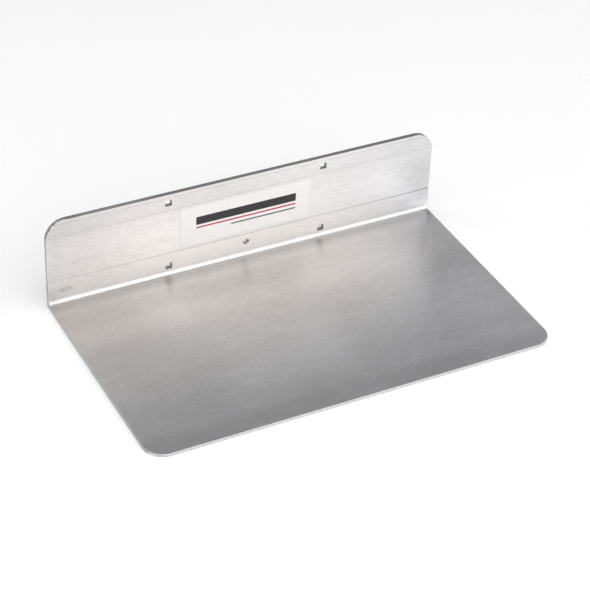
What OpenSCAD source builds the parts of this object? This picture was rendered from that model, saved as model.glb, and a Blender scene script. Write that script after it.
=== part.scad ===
// Nose plate of a two-wheel hand truck: one aluminium extrusion with an L profile, cut to length,
// rounded at its free corners and punched for its bolts, with a label in the recess of its flange.
// +X runs along the width, -Y points to the front lip, +Z is up, and the origin is on the floor
// under the middle of the plate's outer box.

/* [Overall] */
// Width across the two sawn ends
width = 508; // [356:1:762]
// Depth from the front lip to the flange's back face
depth = 304.8; // [200:0.1:400]
// Height of the flange above the floor
height = 119; // [116:0.5:150]

/* [Wall] */
// Thickness of the upright flange
flange_t = 6.35; // [5:0.05:8]
// Thickness of the plate where it meets the flange
heel_t = 6.35; // [5:0.05:8]
// Thickness of the plate at its front lip
lip_t = 4; // [3:0.1:5]
// Radius of the inside corner between plate and flange
fillet_r = 5.5; // [3:0.5:8]
// Radius of the outside corner at the heel
heel_r = 3; // [1:0.5:4.5]

/* [Flange face] */
// Height of the flush bead along the flange's top edge
bead_h = 4.4; // [3:0.1:6]
// Set-back of the upper band, which lies between the bead and the recess
band_d = 0.3; // [0.1:0.05:0.4]
// Height of the recess's lower edge above the floor
recess_z = 36.5; // [32:0.1:40]
// Height of the label recess
recess_h = 60.7; // [56:0.1:64]
// Depth of the label recess
recess_d = 0.8; // [0.6:0.05:1.5]

/* [Corners] */
// Radius of the flange's two top corners
flange_corner_r = 25.4; // [10:0.1:35]
// Radius of the plate's two front corners
plate_corner_r = 24; // [10:0.1:60]

/* [Bolt holes] */
// Side of each square hole, for the neck of a 5/16 in carriage bolt
square_side = 8.3; // [6.5:0.1:11]
// Spacing of the square holes along the width
bolt_pitch_x = 203.2; // [150:0.1:300]
// Spacing of the square holes in height
bolt_pitch_z = 88.9; // [84:0.1:90]
// Height of the lower row of square holes above the floor
bolt_low_z = 18.3; // [17.5:0.1:24]
// Diameter of the round hole on the centre line
round_d = 7.94; // [5:0.01:12]
// Height of the round hole above the floor
round_z = 25.4; // [21:0.1:28]

/* [Label] */
// Width of the label
label_w = 173; // [80:1:190]
// Height of the label
label_h = 54; // [30:1:54]
// Thickness of the label film with its adhesive
label_t = 0.2; // [0.1:0.05:0.4]
// Corner radius of the label
label_r = 1.5; // [0.5:0.1:5]

/* [Hidden] */

back_y = depth / 2;
front_y = -depth / 2;
face_y = back_y - flange_t;       // front of the flange at its bead and at its lower band
recess_top = recess_z + recess_h;
bead_z = height - bead_h;
cut = 20;                         // how far a cutting shape runs past the metal
round_fn = 64;

// The plate in section: a flat underside, and a top that falls from the heel to the lip.
module plate_section() {
    polygon([[front_y, 0], [back_y, 0], [back_y, heel_t], [face_y, heel_t], [front_y, lip_t]]);
}

// The flange in section: square steps set the upper band back from the bead, and the recess back
// from the bands above and below it.
module flange_section() {
    polygon([
        [back_y, 0], [back_y, height], [face_y, height],
        [face_y, bead_z], [face_y + band_d, bead_z],
        [face_y + band_d, recess_top], [face_y + recess_d, recess_top],
        [face_y + recess_d, recess_z], [face_y, recess_z],
        [face_y, 0]
    ]);
}

// The rounded inside corner: a square block with a quarter circle taken out of it.
module inside_corner() {
    difference() {
        translate([face_y - fillet_r, heel_t / 2]) square([fillet_r + 1, heel_t / 2 + fillet_r]);
        translate([face_y - fillet_r, heel_t + fillet_r]) circle(r = fillet_r, $fn = round_fn);
    }
}

// What is taken off the outside corner at the heel to leave it round.
module heel_waste() {
    difference() {
        translate([back_y - heel_r, -1]) square([heel_r + 1, heel_r + 1]);
        translate([back_y - heel_r, heel_r]) circle(r = heel_r, $fn = round_fn);
    }
}

// The whole extrusion profile, in the (Y, Z) plane.
module profile() {
    difference() {
        union() {
            plate_section();
            flange_section();
            inside_corner();
        }
        heel_waste();
    }
}

// The extrusion, cut to length along X.
module extrusion() {
    translate([-width / 2, 0, 0]) rotate([90, 0, 90]) linear_extrude(width) profile();
}

// Waste of one rounded corner: the square at the outline's corner, less a disc.
// The corner is at the origin and the metal lies towards +X and -Y.
module corner_waste(r) {
    difference() {
        translate([-cut, -r]) square([cut + r, r + cut]);
        translate([r, -r]) circle(r = r, $fn = round_fn);
    }
}

// The flange's two top corners, cut through the flange from front to back.
module flange_corner_cuts() {
    for (side = [0, 1]) mirror([side, 0, 0])
        translate([-width / 2, back_y + cut, height]) rotate([90, 0, 0])
            linear_extrude(flange_t + 2 * cut) corner_waste(flange_corner_r);
}

// The plate's two front corners, cut through the plate from top to bottom.
module plate_corner_cuts() {
    for (side = [0, 1]) mirror([side, 0, 0])
        translate([-width / 2, front_y, -cut]) mirror([0, 1, 0])
            linear_extrude(2 * cut) corner_waste(plate_corner_r);
}

// The four square holes for carriage bolts.
module square_holes() {
    for (side = [-1, 1], row = [0, 1])
        translate([side * bolt_pitch_x / 2, back_y - flange_t / 2, bolt_low_z + row * bolt_pitch_z])
            cube([square_side, flange_t + 2 * cut, square_side], center = true);
}

// The round hole on the centre line.
module round_hole() {
    translate([0, back_y + cut, round_z]) rotate([90, 0, 0])
        cylinder(d = round_d, h = flange_t + 2 * cut, $fn = round_fn);
}

module nose_plate() {
    color("silver") difference() {
        extrusion();
        flange_corner_cuts();
        plate_corner_cuts();
        square_holes();
        round_hole();
    }
}

// A rectangle with round corners, centred on the origin.
module rounded_rectangle(w, h, r) {
    union() {
        square([w - 2 * r, h], center = true);
        square([w, h - 2 * r], center = true);
        for (x = [-1, 1], y = [-1, 1])
            translate([x * (w / 2 - r), y * (h / 2 - r)]) circle(r = r, $fn = round_fn);
    }
}

// The adhesive label, on the floor of the recess and midway up it.
module label() {
    color("whitesmoke")
        translate([0, face_y + recess_d, recess_z + recess_h / 2]) rotate([90, 0, 0])
            linear_extrude(label_t) rounded_rectangle(label_w, label_h, label_r);
}

nose_plate();
label();
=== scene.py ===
import math

import bmesh
import bpy
from mathutils import Matrix, Vector


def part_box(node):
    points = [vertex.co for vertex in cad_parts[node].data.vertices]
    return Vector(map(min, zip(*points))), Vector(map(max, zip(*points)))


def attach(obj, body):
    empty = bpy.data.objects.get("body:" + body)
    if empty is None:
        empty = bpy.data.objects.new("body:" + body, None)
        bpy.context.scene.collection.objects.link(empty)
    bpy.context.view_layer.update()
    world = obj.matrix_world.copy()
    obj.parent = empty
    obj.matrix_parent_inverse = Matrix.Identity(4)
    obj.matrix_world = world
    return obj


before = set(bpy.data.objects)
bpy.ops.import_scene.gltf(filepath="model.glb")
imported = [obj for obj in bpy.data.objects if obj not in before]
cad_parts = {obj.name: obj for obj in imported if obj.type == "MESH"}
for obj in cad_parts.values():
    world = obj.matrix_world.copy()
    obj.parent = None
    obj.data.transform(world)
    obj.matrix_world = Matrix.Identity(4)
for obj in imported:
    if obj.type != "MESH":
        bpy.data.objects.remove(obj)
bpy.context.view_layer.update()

plate_lo, plate_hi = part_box("nose_plate")
label_lo, label_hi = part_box("label")
label_mid = (label_lo + label_hi) / 2

MM = 0.001
WALL = 6.35 * MM                       # thickness of the flange
RECESS_HEIGHT = 60.7 * MM              # the label lies midway up its recess
BEAD_HEIGHT = 4.4 * MM                 # the bead runs along the flange's top edge
FACE_Y = plate_hi.y - WALL             # front of the flange
RECESS_Y = label_hi.y                  # floor of the label recess
RECESS_LOW = label_mid.z - RECESS_HEIGHT / 2
RECESS_HIGH = label_mid.z + RECESS_HEIGHT / 2
BEAD_LOW = plate_hi.z - BEAD_HEIGHT

# ---------------------------------------------------------------- node helpers


class Nodes:
    """A small wrapper that adds nodes to one node tree and wires them."""

    def __init__(self, tree):
        self.tree = tree
        tree.nodes.clear()

    def add(self, kind, inputs=None, **settings):
        """A node of one kind, with its settings and its inputs, by name or number."""
        node = self.tree.nodes.new(kind)
        for name, value in settings.items():
            setattr(node, name, value)
        for name, value in (inputs or {}).items():
            self.feed(node.inputs[name], value)
        return node

    def feed(self, socket, value):
        """Links an output socket to an input, or sets the input's own value."""
        if isinstance(value, bpy.types.NodeSocket):
            self.tree.links.new(value, socket)
        else:
            socket.default_value = value

    def math(self, operation, a, b=0.0):
        return self.add("ShaderNodeMath", {0: a, 1: b}, operation=operation).outputs[0]

    def chain(self, operation, first, *rest):
        """One operation applied along a whole row of values."""
        for value in rest:
            first = self.math(operation, first, value)
        return first

    def product(self, *values):
        return self.chain("MULTIPLY", *values)

    def total(self, *values):
        return self.chain("ADD", *values)

    def largest(self, *values):
        return self.chain("MAXIMUM", *values)

    def flip(self, value):
        """What is left of 1."""
        return self.math("SUBTRACT", 1.0, value)

    def swing(self, value, amount):
        """A 0..1 pattern turned into a small swing of +-amount/2 around zero."""
        return self.math("MULTIPLY", self.math("SUBTRACT", value, 0.5), amount)

    def ramp(self, value, low, high, to_low=0.0, to_high=1.0):
        """Maps value smoothly from low..high onto to_low..to_high, and holds it outside."""
        node = self.add(
            "ShaderNodeMapRange",
            {"Value": value, "From Min": low, "From Max": high, "To Min": to_low, "To Max": to_high},
            interpolation_type="SMOOTHSTEP",
        )
        return node.outputs["Result"]

    def fall(self, value, low, high):
        """1 up to low, 0 from high on, and smooth between them."""
        return self.ramp(value, low, high, 1.0, 0.0)

    def inside(self, value, low, high, soft):
        """1 between low and high, fading to 0 over soft beyond them."""
        return self.product(self.ramp(value, low - soft, low), self.fall(value, high, high + soft))

    def mix(self, factor, a, b):
        """Mixes two colours."""
        node = self.add("ShaderNodeMix", data_type="RGBA")
        self.feed(node.inputs["Factor"], factor)
        self.feed(node.inputs[6], a)
        self.feed(node.inputs[7], b)
        return node.outputs[2]

    def blend(self, factor, a, b):
        """Mixes two numbers."""
        node = self.add("ShaderNodeMix", data_type="FLOAT")
        self.feed(node.inputs["Factor"], factor)
        self.feed(node.inputs[2], a)
        self.feed(node.inputs[3], b)
        return node.outputs[0]

    def split(self, vector):
        node = self.add("ShaderNodeSeparateXYZ", {0: vector})
        return node.outputs[0], node.outputs[1], node.outputs[2]

    def noise(self, vector, scale, turn=(0, 0, 0), detail=2.0, roughness=0.5):
        """Noise with its own scale along each axis, in cycles per metre, after a turn in degrees."""
        angles = tuple(math.radians(angle) for angle in turn)
        turned = self.add("ShaderNodeMapping", {"Vector": vector, "Rotation": angles})
        scaled = self.add("ShaderNodeMapping", {"Vector": turned.outputs[0], "Scale": scale})
        node = self.add(
            "ShaderNodeTexNoise",
            {
                "Vector": scaled.outputs[0],
                "Scale": 1.0,
                "Detail": detail,
                "Roughness": roughness,
            },
        )
        return node.outputs["Fac"]


def new_material(name):
    material = bpy.data.materials.new(name)
    material.use_nodes = True
    return material, Nodes(material.node_tree)


def finish_material(nodes, shader, normal=None):
    """Ends a material: the shader goes to the output, and the bumped normal to the shader."""
    if normal is not None:
        nodes.feed(shader.inputs["Normal"], normal)
    nodes.add("ShaderNodeOutputMaterial", {"Surface": shader.outputs[0]})


# ---------------------------------------------------------------- aluminium

FLANGE_METAL = (0.890, 0.868, 0.860, 1)
WARM_METAL = (0.802, 0.762, 0.732, 1)  # the plate by the flange
COOL_METAL = (0.748, 0.750, 0.768, 1)  # towards the lip and the right

# Noise patterns of the metal, in cycles per metre along each axis. Die lines (fine, middle, broad)
# run the whole width, so they hardly change along X. The others are short drag marks, dull and
# bright clouds, the oxide skin's mottling and grain, two sets of scratches, and the saw's marks.
PATTERNS = {
    "fine": {"scale": (3.0, 1700.0, 1700.0), "detail": 3.0, "roughness": 0.6},
    "middle": {"scale": (2.0, 330.0, 330.0)},
    "broad": {"scale": (1.0, 60.0, 60.0)},
    "drag": {"scale": (45.0, 700.0, 700.0), "turn": (0, 0, 4), "detail": 3.0},
    "cloud": {"scale": (7.0, 12.0, 12.0), "detail": 4.0, "roughness": 0.55},
    "mottle": {"scale": (75.0, 105.0, 105.0), "detail": 4.0, "roughness": 0.6},
    "grain": {"scale": (130.0, 420.0, 420.0), "turn": (0, 0, -3), "roughness": 0.6},
    "scratch_a": {"scale": (14.0, 1500.0, 14.0), "turn": (0, 0, 23), "detail": 1.0},
    "scratch_b": {"scale": (12.0, 1300.0, 1300.0), "turn": (0, 9, -31)},
    "saw": {"scale": (40.0, 30.0, 1400.0), "turn": (12, 0, 0), "detail": 3.0},
}

# How far the patterns swing the tone and the roughness, and how much of each is in the relief.
TONE_SWINGS = {
    "middle": 0.05,
    "broad": 0.06,
    "drag": 0.19,
    "mottle": 0.17,
    "grain": 0.22,
    "cloud": 0.07,
}
ROUGHNESS_SWINGS = {"cloud": 0.05, "broad": 0.03, "mottle": 0.06}
RELIEF_SHARES = {"fine": 0.4, "middle": 0.5, "drag": 0.3}

MILL_ROUGHNESS = 0.375
SCRATCH_ROUGHNESS = 0.30
RIM_ROUGHNESS = 0.24
CUT_ROUGHNESS = 0.52                   # sawn ends and punched walls
RELIEF = 0.04 * MM                     # the unit of height in the bumped relief
SCRATCH_DEPTH = 0.3                    # depth of the scratches, in that unit
SAW_HEIGHT = 2.0                       # height of the saw marks, in that unit

# What the tone is multiplied by on each kind of surface. Masks overlap, so plate_end and
# wall_floor give back part of what sawn and wall take away. Inside the holes the walls carry
# painted shade, and their upward faces less of it, as painted light; the ledge low on the
# flange carries painted shade.
SURFACE_TONES = {
    "sawn": 0.49,
    "plate_end": 1.32,
    "rim": 0.92,
    "ledge": 0.65,
    "wall": 0.46,
    "wall_floor": 1.6,
    "lip": 0.75,
}
# The same for the zones of the plate and of the flange, which are painted light and shade, and for
# the marks: scratches and a smudge of use, a painted highlight on the rim, and painted shade in the
# steps.
PLATE_TONES = {"painted_shade_left": 0.76, "painted_sheen_middle": 1.12, "painted_light_right": 1.19, "painted_light_end": 1.8}
FLANGE_TONES = {"top_left": 0.94, "top_right": 0.96, "right_end": 0.79, "left_end": 0.83}
MARK_TONES = {"scratches": 1.06, "painted_rim_highlight": 1.25, "smudge": 0.68, "step_shade": 0.77}

PLATE_TOP = 12 * MM                    # above this there is only the flange
HOLES_X = 115 * MM                     # the square holes lie within this of the middle,
HOLES_LOW, HOLES_HIGH = 11 * MM, 113 * MM    # and between these heights

# Painted shade lies as thin dark lines in the flange's steps: low edge, high edge, and the width of
# its fading.
STEP_LINES = (
    (RECESS_LOW, RECESS_LOW + 0.3 * MM, 0.4 * MM),
    (RECESS_HIGH - 0.6 * MM, RECESS_HIGH, 0.5 * MM),
    (BEAD_LOW - 0.6 * MM, BEAD_LOW, 0.4 * MM),
)

SMUDGE_X = plate_lo.x + 21.5 * MM      # middle of a fingertip's smudge
SMUDGE_Z = 23 * MM
SMUDGE_HALF_W = 9 * MM                 # half of its width and of its height
SMUDGE_HALF_H = 4 * MM


def surface_masks(n, place, normal):
    """Where each kind of surface is, from 0 to 1, as a dictionary."""
    x, y, z = n.split(place)
    nx, ny, nz = n.split(normal)
    off_plate = n.ramp(z, PLATE_TOP, PLATE_TOP + 4 * MM)
    on_plate = n.flip(off_plate)
    not_facing = n.fall(n.math("ABSOLUTE", ny), 0.3, 0.6)
    among_holes = n.product(
        n.inside(x, -HOLES_X, HOLES_X, 1 * MM), n.inside(z, HOLES_LOW, HOLES_HIGH, 1 * MM)
    )
    behind_face = n.ramp(y, RECESS_Y, RECESS_Y + 0.6 * MM)
    before_back = n.fall(y, plate_hi.y - 0.6 * MM, plate_hi.y - 0.1 * MM)
    wall = n.product(behind_face, before_back, among_holes, not_facing)
    not_wall = n.flip(wall)
    endward = n.ramp(n.math("ABSOLUTE", nx), 0.80, 0.95)
    upper = n.ramp(z, 60 * MM, 80 * MM)
    by_lip = n.fall(y, plate_lo.y + 20 * MM, plate_lo.y + 40 * MM)
    return {
        "plate": n.product(n.ramp(nz, 0.6, 0.9), on_plate),
        "sawn": n.product(endward, not_wall),
        "plate_end": n.product(endward, on_plate),
        "wall": wall,
        "wall_floor": n.product(wall, n.ramp(nz, 0.5, 0.8)),
        "rim": n.product(off_plate, not_facing, upper, n.flip(endward), not_wall),
        "ledge": n.product(off_plate, n.ramp(nz, 0.93, 0.99), n.flip(upper), not_wall),
        "lip": n.product(n.fall(ny, -0.9, -0.6), by_lip),
        "front": n.fall(y, RECESS_Y + 0.5 * MM, RECESS_Y + 1.5 * MM),
    }


def painted_step_shade(n, z, breakup):
    """The thin dark lines of painted shade that lie in the small steps across the flange's face."""
    lines = n.largest(*(n.inside(z, low, high, soft) for low, high, soft in STEP_LINES))
    return n.product(lines, n.ramp(breakup, 0.2, 0.5, 0.65, 1.0))


def handling_smudge(n, x, z, breakup):
    """A grey fingertip smudge low on the flange, near its left end."""
    across = n.math("DIVIDE", n.math("SUBTRACT", x, SMUDGE_X), SMUDGE_HALF_W)
    up = n.math("DIVIDE", n.math("SUBTRACT", z, SMUDGE_Z), SMUDGE_HALF_H)
    away = n.total(n.product(across, across), n.product(up, up))
    return n.product(n.fall(away, 0.2, 1.6), n.ramp(breakup, 0.25, 0.65))


def use_marks(n, x, z, masks, patterns):
    """Where the marks are, from 0 to 1, as a dictionary: scratches and a smudge of use, a painted
    highlight on the rim's left part, and painted shade in the steps.
    """
    scratches = n.largest(
        n.ramp(patterns["scratch_a"], 0.72, 0.78), n.ramp(patterns["scratch_b"], 0.73, 0.79)
    )
    smudge = handling_smudge(n, x, z, patterns["mottle"])
    step_shade = painted_step_shade(n, z, patterns["mottle"])
    return {
        "scratches": n.product(scratches, masks["plate"]),
        # a painted highlight on the left part of the flange's top rim
        "painted_rim_highlight": n.product(masks["rim"], n.inside(x, -205 * MM, -140 * MM, 25 * MM)),
        "smudge": n.product(smudge, masks["front"]),
        # painted shade as thin dark lines along the flange's steps
        "step_shade": n.product(step_shade, masks["front"], n.flip(masks["wall"])),
    }


def shade(n, tone, masks, factors):
    """The tone, multiplied by each factor where the mask of the same name is 1."""
    return n.product(tone, *(n.blend(masks[name], 1.0, factors[name]) for name in factors))


def swings(n, start, patterns, amounts):
    """A starting value with each pattern's swing added to it."""
    return n.total(start, *(n.swing(patterns[name], amounts[name]) for name in amounts))


def plate_tone(n, x, reach):
    """Tone of the plate, as painted light and shade: dark along the inside corner and towards the
    lip, a painted reflection of the flange bright between, and painted patches.
    """
    # Painted shade by the inside corner, a painted reflection of the flange fading outwards, and
    # painted shade towards the lip.
    painted_by_reach = n.product(
        n.ramp(reach, 7 * MM, 26 * MM, 0.55, 0.75),
        n.ramp(reach, 30 * MM, 90 * MM, 1.0, 1.26),
        n.ramp(reach, 100 * MM, 160 * MM, 1.0, 1.09),
        n.ramp(reach, 190 * MM, 290 * MM, 1.0, 0.92),
        n.ramp(reach, 265 * MM, 282 * MM, 1.0, 0.90),
    )
    # Painted shade over the plate's left part, a painted sheen in its middle, and painted light on
    # its right front.
    painted_shade_left = n.product(
        n.fall(x, -220 * MM, -80 * MM),
        n.ramp(reach, 0.0, 40 * MM, 0.4, 1.0),
        n.ramp(reach, 110 * MM, 180 * MM, 1.0, 0.4),
    )
    painted_sheen_middle = n.product(
        n.inside(x, -80 * MM, -20 * MM, 80 * MM), n.inside(reach, 80 * MM, 220 * MM, 50 * MM)
    )
    painted_light_right = n.product(n.ramp(x, 60 * MM, 240 * MM), n.ramp(reach, 60 * MM, 130 * MM))
    # The painted shade along the inside corner ends short of the right end, on a slant, where a
    # patch of painted light brightens it.
    slant = n.total(x, n.product(reach, 0.6))
    painted_light_end = n.product(n.ramp(slant, 247 * MM, 263 * MM), n.fall(reach, 20 * MM, 130 * MM))
    zones = {
        "painted_shade_left": painted_shade_left,
        "painted_sheen_middle": painted_sheen_middle,
        "painted_light_right": painted_light_right,
        "painted_light_end": painted_light_end,
    }
    return shade(n, painted_by_reach, zones, PLATE_TONES)


def flange_tone(n, x, z):
    """Tone of the flange, as painted light and shade: lighter low down and darker with height, in
    its top corners and at its two ends.
    """
    by_height = n.product(
        n.ramp(z, 10 * MM, 62 * MM, 1.12, 1.04), n.ramp(z, 60 * MM, 105 * MM, 1.0, 0.90)
    )
    lower_part = n.product(n.ramp(z, 14 * MM, 26 * MM), n.fall(z, 65 * MM, 95 * MM))
    zones = {
        "top_left": n.product(n.ramp(z, 85 * MM, 100 * MM), n.fall(x, -60 * MM, 20 * MM)),
        "top_right": n.product(n.ramp(z, 55 * MM, 80 * MM), n.ramp(x, 40 * MM, 200 * MM)),
        "right_end": n.product(n.ramp(x, 175 * MM, 245 * MM), lower_part),
        "left_end": n.product(n.fall(x, -252 * MM, -232 * MM), n.fall(z, 22 * MM, 34 * MM)),
    }
    return shade(n, by_height, zones, FLANGE_TONES)


def metal_colour(n, x, reach, masks, patterns):
    """Warm where the plate meets the flange, cooler towards the lip and the right."""
    outward = n.ramp(reach, 60 * MM, 270 * MM)
    rightward = n.ramp(x, 60 * MM, 260 * MM, 0.0, 0.8)
    uneven = swings(n, outward, patterns, {"cloud": 0.9, "mottle": 0.5})
    warm = n.mix(masks["plate"], FLANGE_METAL, WARM_METAL)
    return n.mix(n.total(uneven, rightward), warm, COOL_METAL)


def metal_tone(n, x, z, reach, masks, marks, patterns):
    """What the colour is multiplied by: zones of painted light and shade, streaks, the kind of
    surface (with painted shade and light in the holes and on the low ledge), and the marks (with a
    painted rim highlight and painted shade in the steps).
    """
    by_zone = n.blend(masks["plate"], flange_tone(n, x, z), plate_tone(n, x, reach))
    streaked = n.product(by_zone, swings(n, 1.0, patterns, TONE_SWINGS))
    return shade(n, shade(n, streaked, masks, SURFACE_TONES), marks, MARK_TONES)


def metal_roughness(n, masks, scratches, cut_faces, patterns):
    """Satin mill finish, brighter in scratches and along the rim, and matt where it was cut."""
    roughness = swings(n, MILL_ROUGHNESS, patterns, ROUGHNESS_SWINGS)
    roughness = n.blend(scratches, roughness, SCRATCH_ROUGHNESS)
    roughness = n.blend(n.largest(masks["rim"], masks["ledge"]), roughness, RIM_ROUGHNESS)
    return n.blend(cut_faces, roughness, CUT_ROUGHNESS)


def metal_relief(n, scratches, cut_faces, patterns):
    """Fine die lines and scratches, or saw marks on the cut faces, as a bumped normal."""
    lines = n.total(*(n.product(patterns[name], RELIEF_SHARES[name]) for name in RELIEF_SHARES))
    lines = n.math("SUBTRACT", lines, n.product(scratches, SCRATCH_DEPTH))
    height = n.blend(cut_faces, lines, n.product(patterns["saw"], SAW_HEIGHT))
    bump = n.add("ShaderNodeBump", {"Strength": 0.25, "Distance": RELIEF, "Height": height})
    return bump.outputs["Normal"]


def mill_aluminium():
    """Extruded aluminium as it leaves the mill: die lines along X, handling marks, and painted light
    and shade.
    """
    material, n = new_material("mill_finish")
    coordinates = n.add("ShaderNodeTexCoord")
    place = coordinates.outputs["Object"]
    x, y, z = n.split(place)
    reach = n.math("SUBTRACT", FACE_Y, y)        # distance out from the flange
    patterns = {name: n.noise(place, **settings) for name, settings in PATTERNS.items()}
    masks = surface_masks(n, place, coordinates.outputs["Normal"])
    marks = use_marks(n, x, z, masks, patterns)
    scratches = marks["scratches"]
    cut_faces = n.largest(masks["sawn"], masks["wall"])

    colour = metal_colour(n, x, reach, masks, patterns)
    tone = metal_tone(n, x, z, reach, masks, marks, patterns)
    tint = n.add("ShaderNodeVectorMath", {0: colour, 3: tone}, operation="SCALE").outputs[0]
    shader = n.add(
        "ShaderNodeBsdfPrincipled",
        {
            "Base Color": tint,
            "Metallic": 1.0,
            "Roughness": metal_roughness(n, masks, scratches, cut_faces, patterns),
            "Anisotropic": 0.7,
            "Anisotropic Rotation": 0.25,
            "Tangent": n.add("ShaderNodeCombineXYZ", {"X": 1.0}).outputs[0],
        },
    )
    finish_material(n, shader, metal_relief(n, scratches, cut_faces, patterns))
    return material


# ---------------------------------------------------------------- label and floor

FILM = (0.92, 0.905, 0.893, 1)
GRIMY_FILM = (0.89, 0.88, 0.865, 1)
EDGE_GREY_LINE = (0.60, 0.59, 0.58, 1)
INKS = {
    "black_ink": (0.018, 0.018, 0.020),
    "red_ink": (0.45, 0.02, 0.03),
    "grey_ink": (0.12, 0.12, 0.12),
}
TABLE = (0.97, 0.97, 0.97, 1)
PALE_TABLE = (0.985, 0.985, 0.985, 1)
TABLE_GLOW = 0.09                      # radiance of the light that comes through the table


def vinyl_film():
    """White label film: semi-gloss, a little uneven, and darker along its cut edge."""
    material, n = new_material("vinyl_film")
    place = n.add("ShaderNodeTexCoord").outputs["Object"]
    x, _, z = n.split(place)
    waviness = n.noise(place, (40.0, 40.0, 60.0))
    grime = n.noise(place, (70.0, 70.0, 70.0), detail=5.0, roughness=0.6)
    half_w = (label_hi.x - label_lo.x) / 2
    half_h = (label_hi.z - label_lo.z) / 2
    from_side = n.math("SUBTRACT", half_w, n.math("ABSOLUTE", n.math("SUBTRACT", x, label_mid.x)))
    from_top = n.math("SUBTRACT", half_h, n.math("ABSOLUTE", n.math("SUBTRACT", z, label_mid.z)))
    border = n.fall(n.math("MINIMUM", from_side, from_top), 0.2 * MM, 1.0 * MM)
    film = n.mix(n.ramp(grime, 0.35, 0.75), FILM, GRIMY_FILM)
    colour = n.mix(n.product(border, 0.5), film, EDGE_GREY_LINE)
    bump = n.add("ShaderNodeBump", {"Strength": 0.2, "Distance": 0.2 * MM, "Height": waviness})
    shader = n.add(
        "ShaderNodeBsdfPrincipled",
        {"Base Color": colour, "Roughness": n.ramp(grime, 0.3, 0.7, 0.34, 0.42)},
    )
    finish_material(n, shader, bump.outputs["Normal"])
    return material


def printed_ink(name):
    """Screen-printed ink on the label, slightly uneven in its coverage."""
    material, n = new_material(name)
    place = n.add("ShaderNodeTexCoord").outputs["Object"]
    coverage = n.noise(place, (400.0, 400.0, 400.0), detail=3.0)
    thin = tuple(c * 1.5 + 0.01 for c in INKS[name])
    shade_of_ink = n.mix(n.ramp(coverage, 0.35, 0.75), (*INKS[name], 1), (*thin, 1))
    shader = n.add(
        "ShaderNodeBsdfPrincipled",
        {"Base Color": shade_of_ink, "Roughness": n.ramp(coverage, 0.3, 0.7, 0.38, 0.48)},
    )
    finish_material(n, shader)
    return material


def studio_floor():
    """A seamless pale light table, lit a little from below."""
    material, n = new_material("studio_floor")
    place = n.add("ShaderNodeTexCoord").outputs["Object"]
    grain = n.noise(place, (6.0, 6.0, 6.0), detail=3.0)
    shader = n.add(
        "ShaderNodeBsdfPrincipled",
        {
            "Base Color": n.mix(grain, TABLE, PALE_TABLE),
            "Roughness": 0.8,
            "Emission Color": (1, 1, 1, 1),
            "Emission Strength": TABLE_GLOW,
        },
    )
    finish_material(n, shader)
    return material


# ---------------------------------------------------------------- the nose plate

EDGE_BREAK = 0.5 * MM                  # radius left on the sawn and extruded edges
EDGE_STEPS = 3
HOLE_BREAK = 0.5                       # the punched holes' share of it
STEP_BREAK = 0.3                       # the share of the small steps across the flange
RIM_BREAK = 0.45                       # the share of the flange's top edges
SHARP = math.radians(50)               # an edge that turns more than this is broken
STEPS_LOW = 31 * MM                    # the steps lie above this, and the round hole below it
SAME_POINT = 0.01 * MM                 # points closer than this are one
SAME_PLANE = math.radians(0.3)         # faces that differ less than this are one


def edge_break_weights():
    """A node group that gives each convex edge its share of EDGE_BREAK, as a bevel weight.

    An edge is known by its midpoint, and that of a step across the whole flange is near x = 0.
    """
    group = bpy.data.node_groups.new("edge_break_weights", "GeometryNodeTree")
    group.interface.new_socket("Geometry", in_out="INPUT", socket_type="NodeSocketGeometry")
    group.interface.new_socket("Geometry", in_out="OUTPUT", socket_type="NodeSocketGeometry")
    n = Nodes(group)
    x, _, z = n.split(n.add("GeometryNodeInputPosition").outputs[0])
    sideways = n.math("ABSOLUTE", x)
    angle = n.add("GeometryNodeInputMeshEdgeAngle").outputs["Signed Angle"]
    convex = n.math("GREATER_THAN", angle, SHARP)
    on_face = n.product(
        n.math("LESS_THAN", z, plate_hi.z - 1 * MM),
        n.math("GREATER_THAN", z, 10 * MM),
        n.math("LESS_THAN", sideways, plate_hi.x - 1 * MM),
    )
    on_step = n.product(
        n.math("LESS_THAN", sideways, 20 * MM), n.math("GREATER_THAN", z, STEPS_LOW)
    )
    on_rim = n.math("GREATER_THAN", z, plate_hi.z - SAME_POINT)
    face_share = n.blend(on_step, HOLE_BREAK, STEP_BREAK)
    share = n.blend(on_face, n.blend(on_rim, 1.0, RIM_BREAK), face_share)
    stored = n.add(
        "GeometryNodeStoreNamedAttribute",
        {
            "Geometry": n.add("NodeGroupInput").outputs[0],
            "Name": "bevel_weight_edge",
            "Value": n.product(convex, share),
        },
        data_type="FLOAT",
        domain="EDGE",
    )
    n.add("NodeGroupOutput", {0: stored.outputs[0]})
    return group


def dress_nose_plate(material):
    """The CAD solid, with its sawn, punched and extruded edges broken by a small radius."""
    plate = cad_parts["nose_plate"]
    plate.material_slots[0].material = material
    weld = plate.modifiers.new("weld_faces", "WELD")
    weld.merge_threshold = SAME_POINT
    flat = plate.modifiers.new("merge_flat_faces", "DECIMATE")
    flat.decimate_type = "DISSOLVE"
    flat.angle_limit = SAME_PLANE
    weights = plate.modifiers.new("weigh_edges", "NODES")
    weights.node_group = edge_break_weights()
    edge = plate.modifiers.new("break_edges", "BEVEL")
    edge.width = EDGE_BREAK
    edge.segments = EDGE_STEPS
    edge.limit_method = "WEIGHT"
    edge.use_clamp_overlap = False
    edge.harden_normals = True


# ---------------------------------------------------------------- the label

INK_T = 0.02 * MM
CORNER_STEPS = 8
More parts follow.
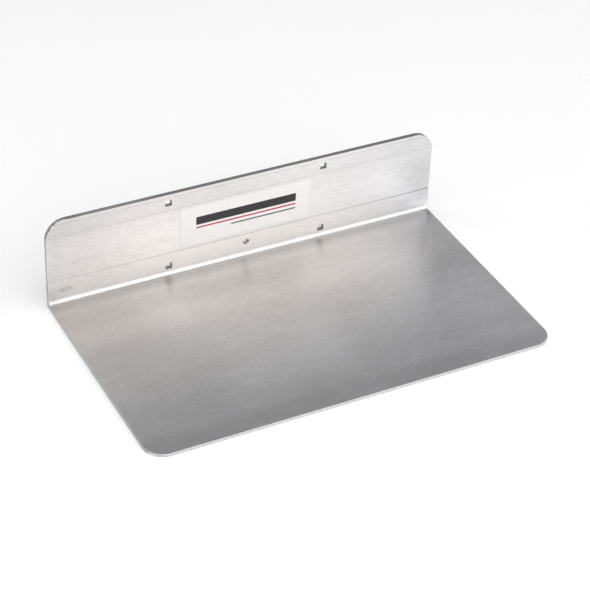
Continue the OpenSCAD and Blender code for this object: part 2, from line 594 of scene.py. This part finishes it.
# Each printed bar: its left and right from the middle of the part, its low and high from the
# middle of the label, its corner radius, and its ink.
PRINTED_BARS = {
    "label_bar_dark": (-66 * MM, 66 * MM, 0.0, 11 * MM, 1.2 * MM, "black_ink"),
    "label_bar_red": (-66 * MM, 66 * MM, -5 * MM, -3 * MM, 0.8 * MM, "red_ink"),
    "label_bar_grey": (-20 * MM, 66 * MM, -11 * MM, -9 * MM, 0.8 * MM, "grey_ink"),
}


def dress_label(material):
    """The CAD solid as a plain sheet of film."""
    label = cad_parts["label"]
    label.material_slots[0].material = material


def bar_outline(x0, x1, z0, z1, radius):
    """Points (x, z) round a rectangle with round corners, from its upper right corner on."""
    corners = ((x1, z1, -1, -1, 0), (x0, z1, 1, -1, 90), (x0, z0, 1, 1, 180), (x1, z0, -1, 1, 270))
    for corner_x, corner_z, inward_x, inward_z, start in corners:
        for i in range(CORNER_STEPS + 1):
            a = math.radians(start + 90 * i / CORNER_STEPS)
            px = corner_x + radius * (inward_x + math.cos(a))
            pz = corner_z + radius * (inward_z + math.sin(a))
            yield px, pz


def printed_bar(name, left, right, low, high, radius, ink):
    """One printed stripe: a thin bar with round corners, lying on the label's front face."""
    mesh = bmesh.new()
    outline = bar_outline(left, right, label_mid.z + low, label_mid.z + high, radius)
    face = mesh.faces.new([mesh.verts.new((px, label_lo.y, pz)) for px, pz in outline])
    raised = bmesh.ops.extrude_face_region(mesh, geom=[face])
    moved = [g for g in raised["geom"] if isinstance(g, bmesh.types.BMVert)]
    bmesh.ops.translate(mesh, verts=moved, vec=(0, -INK_T, 0))
    bmesh.ops.recalc_face_normals(mesh, faces=mesh.faces)
    data = bpy.data.meshes.new(name)
    mesh.to_mesh(data)
    mesh.free()
    data.materials.append(printed_ink(ink))
    bar = bpy.data.objects.new(name, data)
    bpy.context.scene.collection.objects.link(bar)
    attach(bar, "root")


# ---------------------------------------------------------------- studio

LIGHT_REACH = 3.5                      # distance of the softboxes from the origin
WORLD_STRENGTH = 0.23                  # radiance of the even surround
FLOOR_HALF = 8.0                       # half of the table's side
# Each softbox: azimuth, elevation, width, height, radiance.
SOFTBOXES = {
    "front_softbox": (30, 34, 9.0, 6.5, 1.19),
    "overhead_softbox": (-100, 60, 5.0, 5.0, 1.0),
}

CAMERA_AT = Vector((-0.8759, -1.6134, 1.3700))
CAMERA_AIM = Vector((0.00807, 0.03021, 0.020))
CAMERA_ROLL = math.radians(2.482)
CAMERA_LENS = 120.23                   # in millimetres, as is the sensor's width
CAMERA_SENSOR = 36.0
CAMERA_FAR = 50.0


def softbox(name, azimuth, elevation, width, height, radiance):
    """A rectangular area light of even radiance, LIGHT_REACH from the origin and facing it.

    Azimuth is in degrees from the front (-Y) towards +X, and elevation is above the floor.
    """
    light = bpy.data.lights.new(name, "AREA")
    light.shape = "RECTANGLE"
    light.size = width
    light.size_y = height
    light.energy = radiance * math.pi * width * height
    turn, lift = math.radians(azimuth), math.radians(elevation)
    away = Vector(
        (math.sin(turn) * math.cos(lift), -math.cos(turn) * math.cos(lift), math.sin(lift))
    )
    lamp = bpy.data.objects.new(name, light)
    lamp.location = LIGHT_REACH * away
    lamp.rotation_euler = away.to_track_quat("Z", "Y").to_euler()
    bpy.context.scene.collection.objects.link(lamp)


def surround():
    """The weak, even light from all round."""
    scene = bpy.context.scene
    scene.view_settings.view_transform = "Standard"
    scene.world = bpy.data.worlds.new("studio")
    scene.world.use_nodes = True
    n = Nodes(scene.world.node_tree)
    sky = n.add("ShaderNodeBackground", {"Color": (1, 1, 1, 1), "Strength": WORLD_STRENGTH})
    n.add("ShaderNodeOutputWorld", {"Surface": sky.outputs[0]})


def table():
    """The plain floor that the nose plate lies on."""
    mesh = bpy.data.meshes.new("floor")
    signs = ((-1, -1), (1, -1), (1, 1), (-1, 1))
    mesh.from_pydata([(a * FLOOR_HALF, b * FLOOR_HALF, 0) for a, b in signs], [], [(0, 1, 2, 3)])
    mesh.materials.append(studio_floor())
    floor = bpy.data.objects.new("floor", mesh)
    bpy.context.scene.collection.objects.link(floor)


def camera():
    data = bpy.data.cameras.new("camera")
    data.sensor_width = CAMERA_SENSOR
    data.lens = CAMERA_LENS
    data.clip_end = CAMERA_FAR
    view = bpy.data.objects.new("camera", data)
    facing = (CAMERA_AIM - CAMERA_AT).to_track_quat("-Z", "Y").to_matrix()
    turned = facing @ Matrix.Rotation(CAMERA_ROLL, 3, "Z")
    view.matrix_world = Matrix.Translation(CAMERA_AT) @ turned.to_4x4()
    bpy.context.scene.collection.objects.link(view)
    bpy.context.scene.camera = view


# ---------------------------------------------------------------- assembly

camera()
dress_nose_plate(mill_aluminium())
dress_label(vinyl_film())
for bar_name, bar_settings in PRINTED_BARS.items():
    printed_bar(bar_name, *bar_settings)

surround()
for lamp_name, lamp_settings in SOFTBOXES.items():
    softbox(lamp_name, *lamp_settings)
table()
